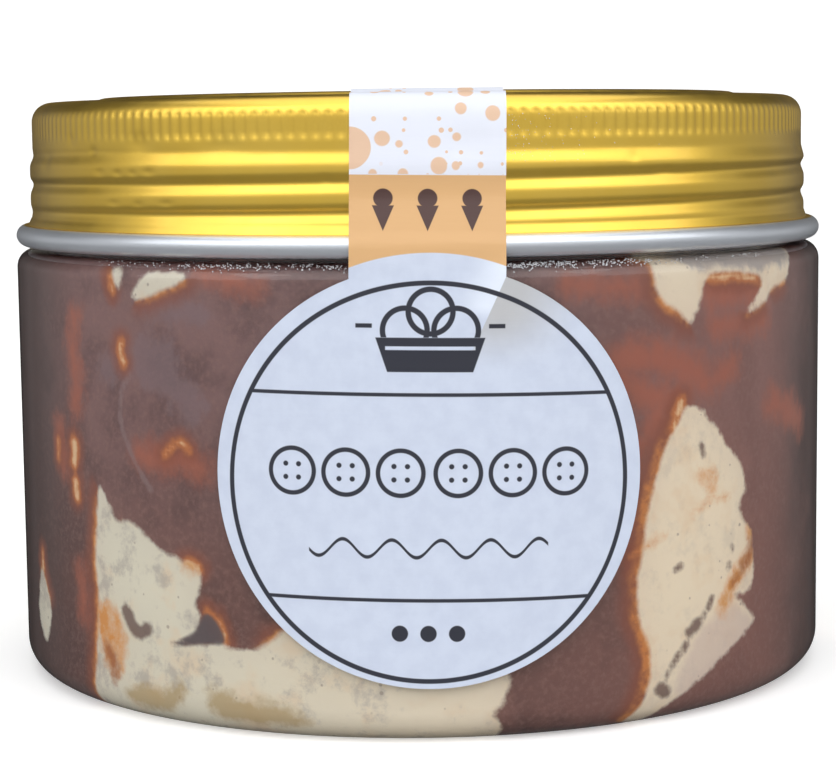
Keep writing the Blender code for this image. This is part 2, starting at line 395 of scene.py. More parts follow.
def jar_profile():
    """From the middle of the inner floor, up the inside, over the rim and down the outside."""
    neck_inner = NECK_RADIUS - NECK_WALL
    corner = (JAR_RADIUS - BASE_CORNER, BASE_CORNER)
    inner_corner = (corner[0], BASE_THICKNESS + BASE_CORNER - WALL)
    inside = [
        (0.0, PUNT_RISE + BASE_THICKNESS),
        (PUNT_RADIUS / 2, PUNT_RISE + BASE_THICKNESS),
        (PUNT_RADIUS, PUNT_RISE + BASE_THICKNESS),
        (FOOT_INNER_RADIUS, BASE_THICKNESS),
        *arc(inner_corner, BASE_CORNER - WALL, -90, 0, 12),
        *arc(shoulder_centre(), SHOULDER_RADIUS - WALL, 0, 90, 8),
        (neck_inner, SHOULDER_TOP - WALL + NECK_WALL),
        (neck_inner, RIM_TOP - RIM_CHAMFER),
        (neck_inner + RIM_CHAMFER, RIM_TOP),
    ]
    outside = [
        (NECK_RADIUS - RIM_CHAMFER, RIM_TOP),
        (NECK_RADIUS, RIM_TOP - RIM_CHAMFER),
        (NECK_RADIUS, SHOULDER_TOP),
        *arc(shoulder_centre(), SHOULDER_RADIUS, 90, 0, 12),
        *arc(corner, BASE_CORNER, 0, -90, 20),
        (FOOT_INNER_RADIUS, 0.0),
        (PUNT_RADIUS, PUNT_RISE),
        (PUNT_RADIUS / 2, PUNT_RISE),
        (0.0, PUNT_RISE),
    ]
    return inside + outside


def clear_plastic():
    """Glossy and a little wavy. It lets the lamps' light through to the gelato."""
    material, wiring = new_material("clear_plastic")
    wavy = wiring.noise(wiring.object_place(), 0.12, 2.0)
    wiring.surface({
        "Base Color": (0.96, 0.97, 0.98, 1.0),
        "Roughness": 0.06,
        "IOR": 1.5,
        "Specular IOR Level": 0.25,
        "Transmission Weight": 1.0,
        "Normal": wiring.bump(wavy, 0.2, 0.2 * MM),
    })
    lets_lamps_through = wiring.nodes.new("ShaderNodeMixShader")
    rays = wiring.nodes.new("ShaderNodeLightPath")
    clear = wiring.nodes.new("ShaderNodeBsdfTransparent")
    wiring.put(lets_lamps_through.inputs[0], rays.outputs["Is Shadow Ray"])
    wiring.put(lets_lamps_through.inputs[1], wiring.shader.outputs[0])
    wiring.put(lets_lamps_through.inputs[2], clear.outputs[0])
    wiring.put(wiring.nodes["Material Output"].inputs["Surface"], lets_lamps_through.outputs[0])
    return material


def make_jar():
    jar = turned("clear_jar", jar_profile(), JAR_STEPS)
    jar.data.materials.append(clear_plastic())
    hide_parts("jar")
    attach(jar, "root")


# Gelato

def gelato_profile():
    """From the middle of the fill's top, down the wall in even steps, to the middle of its floor."""
    into = INTO_WALL
    neck = NECK_RADIUS - NECK_WALL + into
    corner_radius = BASE_CORNER - WALL + into
    floor = BASE_THICKNESS - into
    corner = (JAR_RADIUS - BASE_CORNER, floor + corner_radius)
    wall = JAR_RADIUS - WALL + into
    shoulder = arc(shoulder_centre(), SHOULDER_RADIUS - WALL + into, 90, 0, 8)
    top = [(0.0, GELATO_TOP), *run((0.0, GELATO_TOP), (neck, GELATO_TOP), 8)]
    throat = run((neck, GELATO_TOP), (neck, SHOULDER_TOP - WALL + into), 4)
    side = run((wall, shoulder[-1][1]), (wall, corner[1]), 96)
    base = [(FOOT_INNER_RADIUS, floor), (PUNT_RADIUS, PUNT_RISE + floor)]
    middle = run(base[-1], (0.0, PUNT_RISE + floor), 24)
    return top + throat + shoulder + side + arc(corner, corner_radius, 0, -90, 8)[1:] + base + middle


def unroll(points):
    """Each point's place on the unrolled wall: millimetres round from the front, and up."""
    radius = np.hypot(points[:, 0], points[:, 1])
    height = points[:, 2]
    round_by = np.arctan2(points[:, 0], -points[:, 1]) * JAR_RADIUS
    up = height.copy()
    low = height < BASE_CORNER
    corner = JAR_RADIUS - BASE_CORNER
    turn = np.arctan2(BASE_CORNER - height, np.maximum(radius - corner, 0.01 * MM))
    up[low] = BASE_CORNER - BASE_CORNER * turn[low]
    under = low & (radius < corner)
    foot = BASE_CORNER - BASE_CORNER * math.pi / 2
    up[under] = foot - (corner - radius[under])
    high = (height > SHOULDER_TOP - SHOULDER_RADIUS) & (radius > NECK_RADIUS)
    centre = shoulder_centre()
    lean = np.arctan2(height - centre[1], np.maximum(radius - centre[0], 0.01 * MM))
    up[high] = centre[1] + SHOULDER_RADIUS * lean[high]
    return np.column_stack([round_by, up]) / MM


def rounded(outline, closed=True, cuts=4):
    """The outline with its corners rounded off, by a smooth curve through its points."""
    points = np.array(outline, float)
    count = len(points)
    made = []
    for index in range(count if closed else count - 1):
        if closed:
            p0, p1, p2, p3 = (points[(index + shift) % count] for shift in (-1, 0, 1, 2))
        else:
            p0, p1, p2, p3 = (points[min(max(index + shift, 0), count - 1)] for shift in (-1, 0, 1, 2))
        for cut in range(cuts):
            t = cut / cuts
            made.append(0.5 * (
                2 * p1 + (p2 - p0) * t + (2 * p0 - 5 * p1 + 4 * p2 - p3) * t * t
                + (3 * p1 - p0 - 3 * p2 + p3) * t * t * t
            ))
    if not closed:
        made.append(points[-1])
    return np.array(made)


def edge_distance(places_mm, line, closed):
    """Distance in millimetres from each place to the line."""
    nearest = np.full(len(places_mm), 1e9)
    ends = np.roll(line, -1, axis=0) if closed else line[1:]
    for start, end in zip(line, ends):
        along = end - start
        length = max(float(along @ along), 1e-9)
        share = np.clip(((places_mm - start) @ along) / length, 0, 1)
        nearest = np.minimum(nearest, np.hypot(*(places_mm - start - share[:, None] * along).T))
    return nearest


def inside_outline(places_mm, line):
    within = np.zeros(len(places_mm), bool)
    for start, end in zip(line, np.roll(line, -1, axis=0)):
        crosses = (start[1] > places_mm[:, 1]) != (end[1] > places_mm[:, 1])
        rise = end[1] - start[1]
        if rise != 0:
            reach = start[0] + (places_mm[:, 1] - start[1]) * (end[0] - start[0]) / rise
            within ^= crosses & (places_mm[:, 0] < reach)
    return within


def depth_in(places_mm, outline):
    """How deep each place lies inside the outline in millimetres, negative outside it."""
    line = rounded(outline)
    distance = edge_distance(places_mm, line, True)
    return np.where(inside_outline(places_mm, line), distance, -distance)


def depth_in_streak(places_mm, points, half_width):
    """The same for a streak that tapers to nothing at both ends."""
    line = rounded(points, closed=False) if len(points) > 2 else np.array(points, float)
    return half_width - edge_distance(places_mm, line, False)


# Patches of cream, each with the way its amber edge spreads into the chocolate
CREAM_PATCHES = [
    # high on the left
    ([(-30.2, 40.6), (-29.7, 41.5), (-28.8, 42.5), (-27.3, 43.2), (-24.4, 43.2), (-23.7, 42.6),
      (-25.1, 41.8), (-27.1, 41.1), (-28.9, 40.5)], (0.45, -0.5)),
    ([(-33.1, 43.5), (-32, 43.6), (-31.6, 42.2), (-32.2, 41.4)], (-0.6, -0.3)),
    # low at the far left
    ([(-49.4, 12), (-48, 10.6), (-46.8, 8.8), (-46.8, 7.2), (-47.8, 5.6), (-48.7, 5),
      (-50.2, 6.3), (-50.9, 8), (-50.2, 10.4)], (0.1, 0.6)),
    # the large one that runs along the base to below the label
    ([(-35.8, 21.9), (-34.4, 20.7), (-33.3, 19), (-31.2, 19.2), (-29.7, 18.4), (-28.1, 17.4),
      (-26.9, 16.7), (-24.8, 16.2), (-22.8, 15.3), (-22.5, 14.4), (-22.9, 13.1), (-23.3, 12.1),
      (-22.7, 11.1), (-23.3, 9.4), (-24.6, 8.8), (-26.1, 8.1), (-23.7, 8.2), (-20.6, 8.6),
      (-19.1, 8.2), (-17.1, 8.3), (-15.4, 9), (-13.1, 10.7), (-8.1, 12.2), (0, 11.2),
      (5.8, 8.2), (7, 6.4), (7.1, 5.1), (6.4, 3.5), (5.6, 2.6), (6.4, 0.3),
      (5, -4), (-6, -7), (-20, -8), (-32, -6), (-37.4, -1), (-37.2, 2.9),
      (-36.7, 7), (-36.3, 11), (-36.7, 14.9), (-36.3, 17.9)], (-0.6, 0)),
    # right of the label, with its lower half folded over
    ([(26.7, 29.8), (28.2, 29.2), (28.8, 28.3), (30.5, 26.9), (31.5, 25.5), (33.3, 24.2),
      (34.1, 22.9), (34.5, 21.1), (33.6, 19.9), (34.1, 18.1), (35.4, 16.9), (35.8, 14.6),
      (36.1, 13.1), (35.4, 11.4), (34.1, 11), (32.7, 10.9), (34.6, 9.7), (36, 8.2),
      (34.8, 7.2), (31.7, 5.7), (28.9, 4.1), (25.6, 2.5), (23.4, 0.8), (21.6, -1.6),
      (19.6, -0.9), (20.6, 1.6), (21.7, 5), (21.4, 7.6), (20.4, 10.2), (20.2, 13.5),
      (20.7, 16), (21.4, 20.2), (22.4, 23.6), (23.6, 26.5), (25, 28.4), (25.7, 29.6)], (-1.1, 0.3)),
    # high on the right, with a drip and a branch
    ([(21.2, 46), (21.9, 44), (22.1, 42.4), (22.4, 40.9), (23.6, 39.6), (25.1, 38.8), (26.4, 37.7),
      (27.2, 38.7), (27.8, 40), (28.3, 41.6), (29.6, 42.2), (32.8, 42.2), (36.4, 41.7),
      (37.4, 40.8), (36.6, 39.8), (34.9, 38.3), (36.6, 38.6), (38.2, 39.2), (39.3, 40.2),
      (42.2, 40.9), (43.2, 42.4), (43, 46)], (-0.45, -0.6)),
]
# The same shapes again round the back, where nothing shows them: which one, how far round it
# goes, how far up, and whether it is mirrored
PATCHES_BEHIND = [
    (3, 106, 1, True), (4, 48, 2, False), (5, 130, -1, True), (4, 150, 5, True), (0, -74, -3, False),
    (5, -105, 0, False), (2, -130, 20, True), (3, -76, 12, False), (0, 122, -8, True),
]
AMBER_STREAKS = [
    ([(-33.2, 42.4), (-32.9, 41)], 0.35),
    ([(-31.8, 36.3), (-32, 35.5), (-31.6, 34.4)], 0.5),
    ([(-26.4, 26), (-25.3, 27), (-24.3, 27.2), (-23.7, 26.6)], 0.35),
    ([(-40.1, 26), (-40, 25.1), (-40.2, 24.1)], 0.75),
    ([(-39.9, 22.1), (-39.8, 20.7)], 0.65),
    ([(-43.4, 25.9), (-43.5, 24.1)], 0.4),
    ([(-48.9, 13.9), (-48.9, 12.2)], 0.45),
    ([(-24, 15.8), (-22.9, 15.5)], 0.6),
    ([(-22, 11.6), (-21.1, 11.2), (-20.2, 10), (-19.9, 8.6)], 0.25),
    ([(29.2, 41.7), (32.8, 41.7), (36.2, 41.3)], 0.5),
    ([(25.3, 30.4), (24.9, 29.3), (24.4, 28)], 0.55),
    ([(19.5, 16.4), (21.3, 17.2)], 0.2),
]
# Reddish glow deep in the chocolate
GLOWS = [
    ([(-39.4, 38.3), (-40, 35.5), (-39.2, 32.2), (-39.7, 29.7)], 0.9),
    ([(-43.3, 27.4), (-42.8, 25), (-42.4, 23.2)], 0.8),
    ([(-39.5, 14), (-39, 9)], 0.6),
    ([(-22.1, 43.4), (-18.9, 42.4), (-16.2, 41.9)], 0.8),
    ([(-29.1, 25.8), (-26.8, 25.3), (-23.8, 25.5), (-22.1, 24.9)], 1.1),
    ([(13, 41.8), (20, 41.2)], 0.9),
    ([(16.5, 33.9), (18.6, 34.5), (21.3, 34.8), (24.3, 34), (27.4, 33)], 1.5),
    ([(18.5, 32.8), (21.3, 31.3), (24.4, 30.6)], 1.3),
    ([(28.1, 31.7), (30.5, 32.4), (32.4, 33.4)], 0.9),
    ([(30.2, 37.2), (34.8, 37.2), (37.5, 37.4)], 1.1),
    ([(29.5, 40.4), (36, 40.2)], 1.3),
    ([(20, 15), (19.6, 24), (22.5, 29)], 1.0),
    ([(39.5, 29), (43, 28), (46.4, 26.5)], 1.3),
]
# Grey-lilac film on the chocolate
FILMS = [
    ([(-29.6, 40.6), (-25.7, 40.5), (-21.7, 40.3), (-21.1, 38.6), (-24, 38.1), (-27.6, 38.8)], 0.0),
    ([(-30.6, 36.1), (-27.6, 37.2), (-25.2, 35.9), (-24.1, 33.9), (-22.4, 32.1), (-21.4, 30.5),
      (-23.1, 29), (-26, 31), (-29.1, 32.4), (-30.6, 34.2)], 0.0),
    ([(-34.7, 34.4), (-32.9, 35.3), (-32.3, 33.4), (-33.6, 32.1), (-35.1, 32.7)], 0.0),
]
HAIRLINES = [
    ([(-30.6, 33.4), (-31.9, 31.6), (-32.2, 28.8), (-31, 26.1), (-29.8, 24.3), (-28.3, 22.5)], 0.22),
]
# Grey frost over all, where the filling meets the shoulder
VEILS = [
    ([(24.8, 46), (25.6, 43.6), (28.2, 42.6), (32.8, 42.4), (36.7, 41.9), (39.5, 42.4),
      (42.2, 42.2), (43.4, 43), (43.4, 46)], 0.0),
]
# Drawn over the cream: a lilac tint, caramel film, tan stains with a dark core, and dark creases
BLUSHES = [
    ([(32.6, 10.4), (36, 7.8), (33.7, 5.5), (29.6, 3.2), (26.5, 1.7), (24.4, 3.1), (26.2, 6.7),
      (28.9, 9.2)], 0.0),
]
CARAMEL = [
    ([(-32.6, 2.4), (-30.1, 3.6), (-27.5, 3.4), (-24.9, 4.3), (-25.4, 2.2), (-29.2, 0.6)], 0.0),
    ([(-22, 3.8), (-19.9, 4.2), (-18.4, 3.6), (-16.1, 3.5), (-13.3, 2.8), (-11.8, 1.2),
      (-16.3, 0.6), (-20.1, 0.9), (-21.8, 2.2)], 0.0),
]
STAINS = [
    ([(-36.4, 10.5), (-34.2, 11), (-32.7, 9.7), (-32.1, 7.7), (-32.5, 5.5), (-33.7, 3.6),
      (-35, 4.5), (-36.2, 7.1)], 0.0),
    ([(35.7, 17.2), (35.7, 15.5), (35, 14.1), (33.6, 13), (32.3, 12), (31.6, 11), (31, 10.1)], 0.85),
    ([(28.1, 23.1), (29.2, 22.8), (29.3, 22.1)], 0.65),
    ([(-24.3, 15.7), (-23, 15.5)], 0.55),
    ([(26.9, 19.6), (29.1, 20.4), (31.7, 21)], 0.12),
    ([(21.3, 17.2), (23.1, 17.8)], 0.2),
]
STAIN_CORES = [
    ([(-35, 6.4), (-34.3, 5.2), (-34, 3.8)], 0.5),
    ([(35.4, 15.6), (35, 14.2), (34.2, 13.5)], 0.32),
    ([(33.2, 12.7), (32.6, 12.2)], 0.25),
]
CREASES = [
    ([(-32.1, 10.5), (-31.3, 9.2), (-30.3, 8.7), (-29.4, 9)], 0.7),
    ([(29.4, 11.2), (29, 10.3)], 0.3),
    ([(28.4, 9.7), (28.2, 9.4)], 0.25),
    ([(27.5, 9), (26.5, 8.3)], 0.55),
    ([(25.9, 7.2), (25.7, 6.8)], 0.35),
    ([(25, 6.3), (24.2, 5.4)], 0.35),
    ([(23.8, 4.9), (23.6, 4.6)], 0.25),
    ([(22.8, 3.3), (23.4, 2.9)], 0.65),
    ([(24.6, 14.5), (25.4, 14.9)], 0.25),
    ([(32.4, 15.8), (32.5, 15.5)], 0.25),
    ([(31.9, 14.1), (31.8, 13.8)], 0.28),
    ([(28, 26), (28.2, 25.1)], 0.28),
]
# Where the cream folds over and leaves a dark gap behind it
GAPS = [
    ([(-26.2, 7.7), (-24.9, 8.7), (-23.4, 9.6), (-22.6, 10.9), (-22, 11.4), (-21.2, 11.1),
      (-20.4, 10), (-20.1, 8.6), (-22.6, 8.3)], 0.0),
]


def moved(outline, round_by, up_by, mirrored):
    """The outline elsewhere on the wall, both in millimetres."""
    return [((-s if mirrored else s) + round_by, p + up_by) for s, p in outline]


def depths(on_wall, shapes):
    """The greatest depth in any of the shapes, each an outline or, with a half width, a streak."""
    whole_turn = TURN * JAR_RADIUS / MM
    deepest = np.full(len(on_wall), -FAR)
    for points, half_width in shapes:
        box = np.array(points, float)
        middle = (box[:, 0].min() + box[:, 0].max()) / 2
        here = on_wall.copy()
        here[:, 0] = middle + (here[:, 0] - middle + whole_turn / 2) % whole_turn - whole_turn / 2
        near = np.all((here > box.min(axis=0) - FAR) & (here < box.max(axis=0) + FAR), axis=1)
        if half_width > 0:
            depth = depth_in_streak(here[near], points, half_width)
        else:
            depth = depth_in(here[near], points)
        deepest[near] = np.maximum(deepest[near], depth)
    return deepest


def mark_gelato(gelato):
    """Writes where cream, amber, film and the rest lie, as depths in millimetres."""
    on_wall = unroll(places(gelato))
    patches = list(CREAM_PATCHES)
    for index, round_by, up_by, mirrored in PATCHES_BEHIND:
        outline, spread = CREAM_PATCHES[index]
        side = -1 if mirrored else 1
        patches.append((moved(outline, round_by, up_by, mirrored), (side * spread[0], spread[1])))
    layers = {
        "cream": [(outline, 0.0) for outline, _ in patches],
        "amber": [(moved(outline, *spread, False), 0.0) for outline, spread in patches],
        "amber_streak": AMBER_STREAKS,
        "glow": GLOWS,
        "film": FILMS,
        "hairline": HAIRLINES,
        "veil": VEILS,
        "blush": BLUSHES,
        "caramel": CARAMEL,
        "stain": STAINS,
        "stain_core": STAIN_CORES,
        "crease": CREASES,
        "gap": GAPS,
    }
    for name, shapes in layers.items():
        layer = gelato.data.attributes.new(name, "FLOAT", "POINT")
        layer.data.foreach_set("value", depths(on_wall, shapes).astype(np.float32))


def chocolate_colour(wiring, place, beside, up, ragged):
    """Milky brown, greyer above, redder to the right, with painted shade darkening both sides, and
    with a red glow, a lilac film and a pale hairline in places."""
    cloud = wiring.noise(place, 0.14, 4.0)
    grain = wiring.noise(place, 1.8, 4.0, 0.65)
    wisp = wiring.noise(wiring.object_place((1.0, 1.0, 0.7)), 0.7, 6.0, 0.7)
    cloudy = wiring.ramp(cloud, 0.38, 0.62)
    low = wiring.mix(cloudy, srgb(98, 65, 59), srgb(120, 81, 73))
    high = wiring.mix(cloudy, srgb(112, 80, 78), srgb(139, 103, 100))
    chocolate = wiring.mix(wiring.ramp(up, 10.0, 34.0), low, high)
    chocolate = wiring.tinted(chocolate, srgb(160, 110, 98), beside, 0.0, 30.0, 0.5)
    chocolate = wiring.tinted(chocolate, srgb(154, 115, 106), grain, 0.42, 0.72, 0.45)
    # Painted shade: the chocolate is darkened towards both sides of the jar, where the wall turns from
    # the light.
    painted_side_shade = wiring.math("MULTIPLY_ADD", cloud, 8.0, wiring.math("ABSOLUTE", beside))
    chocolate = wiring.tinted(chocolate, srgb(60, 29, 22), painted_side_shade, 36.0, 44.0, 0.88)
    glow = wiring.layer("glow", wisp, 4.0, -2.0)
    chocolate = wiring.tinted(chocolate, srgb(180, 102, 76), glow, -1.6, 1.4, 0.85)
    film = wiring.layer("film", wisp, 5.0, -2.4)
    chocolate = wiring.tinted(chocolate, srgb(138, 114, 118), film, -0.8, 0.9, 0.6)
    hairline = wiring.layer("hairline", ragged, 0.8)
    return wiring.tinted(chocolate, srgb(150, 126, 126), hairline, -0.25, 0.15, 0.6)


def cream_colour(wiring, place, beside, ragged, blot):
    """Off-white, warmer to the right, with grey clouds, a few dark flecks, and what lies on it."""
    thin = wiring.noise(place, 0.3, 6.0, 0.7)
    warm = wiring.noise(place, 0.22, 3.0)
    mottled = wiring.math("MULTIPLY_ADD", wiring.ramp(beside, 20.0, -15.0), 0.4, 0.22)
    uneven_stain = wiring.math("MULTIPLY_ADD", blot, 2.4, -0.4)
    cream = wiring.mix(wiring.ramp(beside, -30.0, 10.0), srgb(234, 228, 209), srgb(250, 235, 210))
    cream = wiring.tinted(cream, srgb(240, 212, 178), warm, 0.5, 0.7, 0.5)
    cream = wiring.tinted(cream, srgb(182, 173, 166), thin, 0.5, 0.68, mottled)
    away, pick, _ = wiring.cells(place, 0.9)
    uneven = wiring.math("MULTIPLY_ADD", blot, 0.5, wiring.math("SUBTRACT", away, 0.25))
    fleck = wiring.both(wiring.ramp(uneven, 0.16, 0.06), wiring.ramp(pick, 0.68, 0.74))
    cream = wiring.mix(wiring.both(fleck, 0.5), cream, srgb(138, 116, 102))
    blush = wiring.layer("blush", ragged, 2.0)
    cream = wiring.tinted(cream, srgb(222, 200, 190), blush, -0.6, 1.0, 0.55)
    caramel = wiring.layer("caramel", ragged, 2.6)
    cream = wiring.tinted(cream, srgb(190, 163, 114), caramel, -0.8, 0.8, 0.8)
    stain = wiring.layer("stain", ragged, 2.2)
    cream = wiring.tinted(cream, srgb(228, 160, 86), stain, -0.7, 0.8, uneven_stain)
    core = wiring.layer("stain_core", ragged, 1.6)
    cream = wiring.tinted(cream, srgb(166, 94, 44), core, -0.8, 0.5, 0.85)
    crease = wiring.layer("crease", ragged, 0.9)
    return wiring.tinted(cream, srgb(98, 64, 60), crease, -0.35, 0.3, 0.85)


def gelato_finish():
    """Chocolate with amber and cream over it. Amber shows only on the side that it spreads to."""
    material, wiring = new_material("chocolate_and_cream")
    place = wiring.object_place()
    beside, _, up = wiring.split(place)
    ragged = wiring.math("SUBTRACT", wiring.noise(place, 0.8, 5.0, 0.6), 0.5)
    blot = wiring.noise(place, 0.45, 5.0, 0.65)
    body = chocolate_colour(wiring, place, beside, up, ragged)

    cream_depth = wiring.attribute("cream")
    spread = wiring.math("SUBTRACT", wiring.attribute("amber"), cream_depth)
    amber_side = wiring.ramp(spread, 0.05, 0.4)
    amber = wiring.layer("amber", ragged, 1.0)
    uneven = wiring.math("MULTIPLY_ADD", blot, 4.0, -1.35)
    body = wiring.tinted(body, srgb(146, 80, 56), amber, -2.0, 0.1, wiring.both(amber_side, 0.85))
    body = wiring.tinted(body, srgb(212, 134, 68), amber, -0.4, 0.5, wiring.both(amber_side, uneven))
    streak = wiring.layer("amber_streak", ragged, 1.0)
    body = wiring.tinted(body, srgb(152, 82, 54), streak, -1.6, 0.0, 0.75)
    body = wiring.tinted(body, srgb(210, 128, 66), streak, -0.45, 0.35)
    body = wiring.tinted(body, srgb(244, 208, 160), streak, 0.1, 0.6)

    fringe = wiring.math("MULTIPLY_ADD", wiring.math("SUBTRACT", 1.0, amber_side), 0.5, 0.7)
    cream = wiring.math("ADD", cream_depth, wiring.both(ragged, fringe))
    glint = wiring.both(amber_side, wiring.math("MULTIPLY", uneven, 0.4, clamp=True))
    body = wiring.tinted(body, srgb(242, 186, 118), cream, -0.55, -0.05, glint)
    cream_body = cream_colour(wiring, place, beside, ragged, blot)
    whole = wiring.tinted(body, cream_body, cream, -0.35, 0.3)
    gap = wiring.layer("gap", ragged, 0.6)
    whole = wiring.tinted(whole, srgb(96, 85, 88), gap, -0.15, 0.35, 0.9)
    veil = wiring.layer("veil", blot, 3.0, -1.5)
    whole = wiring.tinted(whole, srgb(158, 150, 154), veil, -0.5, 0.9, 0.75)
    wiring.surface({
        "Base Color": whole,
        "Roughness": 0.55,
        "Normal": wiring.bump(blot, 0.3, 0.25 * MM),
    })
    return material


def make_gelato():
    gelato = turned("gelato_fill", gelato_profile(), GELATO_STEPS)
    mark_gelato(gelato)
    gelato.data.materials.append(gelato_finish())
    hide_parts("gelato")
    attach(gelato, "root")


# Lid

def skirt_radius(height):
    """The skirt before its thread is pressed in: straight below the knurls, then a little wider."""
    widened = smooth_step(-height, -SKIRT_WIDENS_FROM, -SKIRT_WIDENS_TO)
    return float(SKIRT_RADIUS_UPPER + (SKIRT_RADIUS_LOWER - SKIRT_RADIUS_UPPER) * widened)


def lid_profile():
    """From the middle of the top, down the skirt, round the curl and up the inside."""
    corner = (LID_BAND_RADIUS - LID_CORNER, LID_RIM_TOP - LID_CORNER)
    curl = (CURL_OUTER_RADIUS - CURL_RADIUS, CURL_HEIGHT)
    inner_radius = SKIRT_RADIUS_UPPER - GROOVE_DEPTH - LID_SHEET
    inner_corner = LID_CORNER - LID_SHEET
    inner_corner_start = math.degrees(math.acos((inner_radius - corner[0]) / inner_corner))
    step = PANEL_STEP / 2
    panel = [(0.0, LID_TOP), (PANEL_RADIUS / 2, LID_TOP), (PANEL_RADIUS - step / 2, LID_TOP)]
    for share in (0.0, 0.25, 0.5, 0.75, 1.0):
        down = float(smooth_step(share, 0, 1))
        panel.append((PANEL_RADIUS + PANEL_STEP * share, LID_TOP + (LID_RIM_TOP - LID_TOP) * down))
    band = arc(corner, LID_CORNER, 90, 0, 12)
    knurls = run(band[-1], (LID_BAND_RADIUS, KNURL_BOTTOM - 0.2 * MM), 7)
    skirt = run(knurls[-1], (LID_BAND_RADIUS, SKIRT_BOTTOM), SKIRT_ROWS)
    skirt = [(skirt_radius(height), height) for _, height in skirt]
    roll = arc(curl, CURL_RADIUS, 100, -170, 20)
    flare = run(skirt[-1], roll[0], 4)[:-1]
    inside = [
        (inner_radius, CURL_HEIGHT + CURL_RADIUS / 2),
        *arc(corner, inner_corner, inner_corner_start, 90, 4),
        (PANEL_RADIUS / 2, LID_RIM_TOP - LID_SHEET),
        (0.0, LID_RIM_TOP - LID_SHEET),
    ]
    return panel + band + knurls + skirt + flare + roll + inside


def thread_groove(angle, height):
    """How deep the rolled thread is pressed in: a groove, steeper above than below, that climbs one
    pitch in each turn to the right and runs out at both ends."""
    turns = (height - GROOVE_FRONT_HEIGHT) / THREAD_PITCH - angle / TURN
    along = np.round(turns) + angle / TURN
    present = smooth_step(along, *GROOVE_STARTS) * (1 - smooth_step(along, *GROOVE_ENDS))
    steepness = np.where(turns > np.round(turns), GROOVE_STEEP_ABOVE, GROOVE_STEEP_BELOW)
    return GROOVE_DEPTH * (0.5 + 0.5 * np.cos(TURN * turns)) ** steepness * present


def knurl_cut(angle, height):
    """How deep the upright flutes in the band below the top corner are pressed in. They are worn
    at the left."""
    flute = (0.5 - 0.5 * np.cos(KNURLS * angle)) ** 1.5
    fade = 0.25 * MM
    band = smooth_step(height, KNURL_BOTTOM, KNURL_BOTTOM + fade)
    worn = 1 - 0.55 * smooth_step(-angle, math.radians(35), math.radians(60))
    return KNURL_DEPTH * worn * flute * band * smooth_step(-height, -KNURL_TOP, fade - KNURL_TOP)


def dented(angle, height):
    """How deep the small dents go."""
    depth = np.zeros(len(angle))
    for round_by, up, half_width, half_height, deepest in DENTS:
        across = (angle - math.radians(round_by)) * LID_BAND_RADIUS / MM / half_width
        depth += deepest * MM * np.exp(-across ** 2 - ((height / MM - up) / half_height) ** 2)
    return depth


def form_skirt(lid):
    """Presses the thread, the knurls and the dents into the outside."""
    points = places(lid)
    radius = np.hypot(points[:, 0], points[:, 1])
    angle = np.arctan2(points[:, 0], -points[:, 1])
    height = points[:, 2]
    outside = radius > SKIRT_RADIUS_UPPER - LID_SHEET / 2
    threaded = outside & (height > CURL_HEIGHT + CURL_RADIUS) & (height < KNURL_BOTTOM)
    pressed = np.zeros(len(points))
    pressed[threaded] = thread_groove(angle[threaded], height[threaded])
    banded = outside & (height > KNURL_BOTTOM - MM)
    pressed[banded] += knurl_cut(angle[banded], height[banded])
    skirt = outside & (height > CURL_HEIGHT + CURL_RADIUS)
    pressed[skirt] += dented(angle[skirt], height[skirt])
    points[outside, :2] *= (1 - pressed[outside] / radius[outside])[:, None]
    set_places(lid, points)


def gold_and_silver():
    """Gold lacquer down to just above the curl, which is pale and a little less like metal."""
    material, wiring = new_material("gold_lid")
    place = wiring.object_place()
    up = wiring.split(place)[2]
    is_gold = wiring.ramp(up, GOLD_ENDS / MM - 0.05, GOLD_ENDS / MM + 0.05)
    gold = wiring.mix(wiring.noise(place, 0.2), (0.94, 0.61, 0.08, 1.0), (0.96, 0.66, 0.12, 1.0))
    wiring.surface({
        "Base Color": wiring.mix(is_gold, (0.72, 0.76, 0.82, 1.0), gold),
        "Metallic": wiring.math("MULTIPLY_ADD", is_gold, 0.2, 0.8),
        "Coat Weight": 0.2,
        "Coat Roughness": 0.12,
        "Roughness": wiring.math("MULTIPLY_ADD", wiring.noise(place, 0.5, 4.0), 0.14, 0.24),
    })
    return material


def make_lid():
    lid = turned("rolled_lid", lid_profile(), LID_STEPS)
    form_skirt(lid)
    lid.data.materials.append(gold_and_silver())
    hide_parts("screw_lid")
    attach(lid, "root")


# Label

def label_path():
    """Side view (r, z) of the label's inner face, from just below it to its end on the lid."""
    off = LABEL_STANDS_OFF
    corner = (LID_BAND_RADIUS - LID_CORNER, LID_RIM_TOP - LID_CORNER)
    curl = (CURL_OUTER_RADIUS - CURL_RADIUS, CURL_HEIGHT)
    ridge_radius = SKIRT_RADIUS_LOWER
    return [
        (JAR_RADIUS + off, LABEL_CENTRE_HEIGHT - WRAP_STARTS_BELOW),
        *arc(curl, CURL_RADIUS + off, 0, 55, 6),
        (ridge_radius + off, GROOVE_FRONT_HEIGHT - THREAD_PITCH / 2),
        (ridge_radius - 0.15 * MM + off, GROOVE_FRONT_HEIGHT),
        (ridge_radius + off, SKIRT_WIDENS_TO),
        (LID_BAND_RADIUS + off, KNURL_BOTTOM),
        *arc(corner, LID_CORNER + off, 0, 90, 10),
        (PANEL_RADIUS + PANEL_STEP + off, LID_RIM_TOP + off),
        (PANEL_RADIUS + off, LID_TOP + off),
        (LID_BAND_RADIUS - STRIP_REACH_ON_TOP, LID_TOP + off),
    ]


def label_way():
    """The label's path as an array, and how far along it each of its points is."""
    path = np.array(label_path())
    return path, np.concatenate([[0], np.cumsum(np.hypot(*np.diff(path, axis=0).T))])


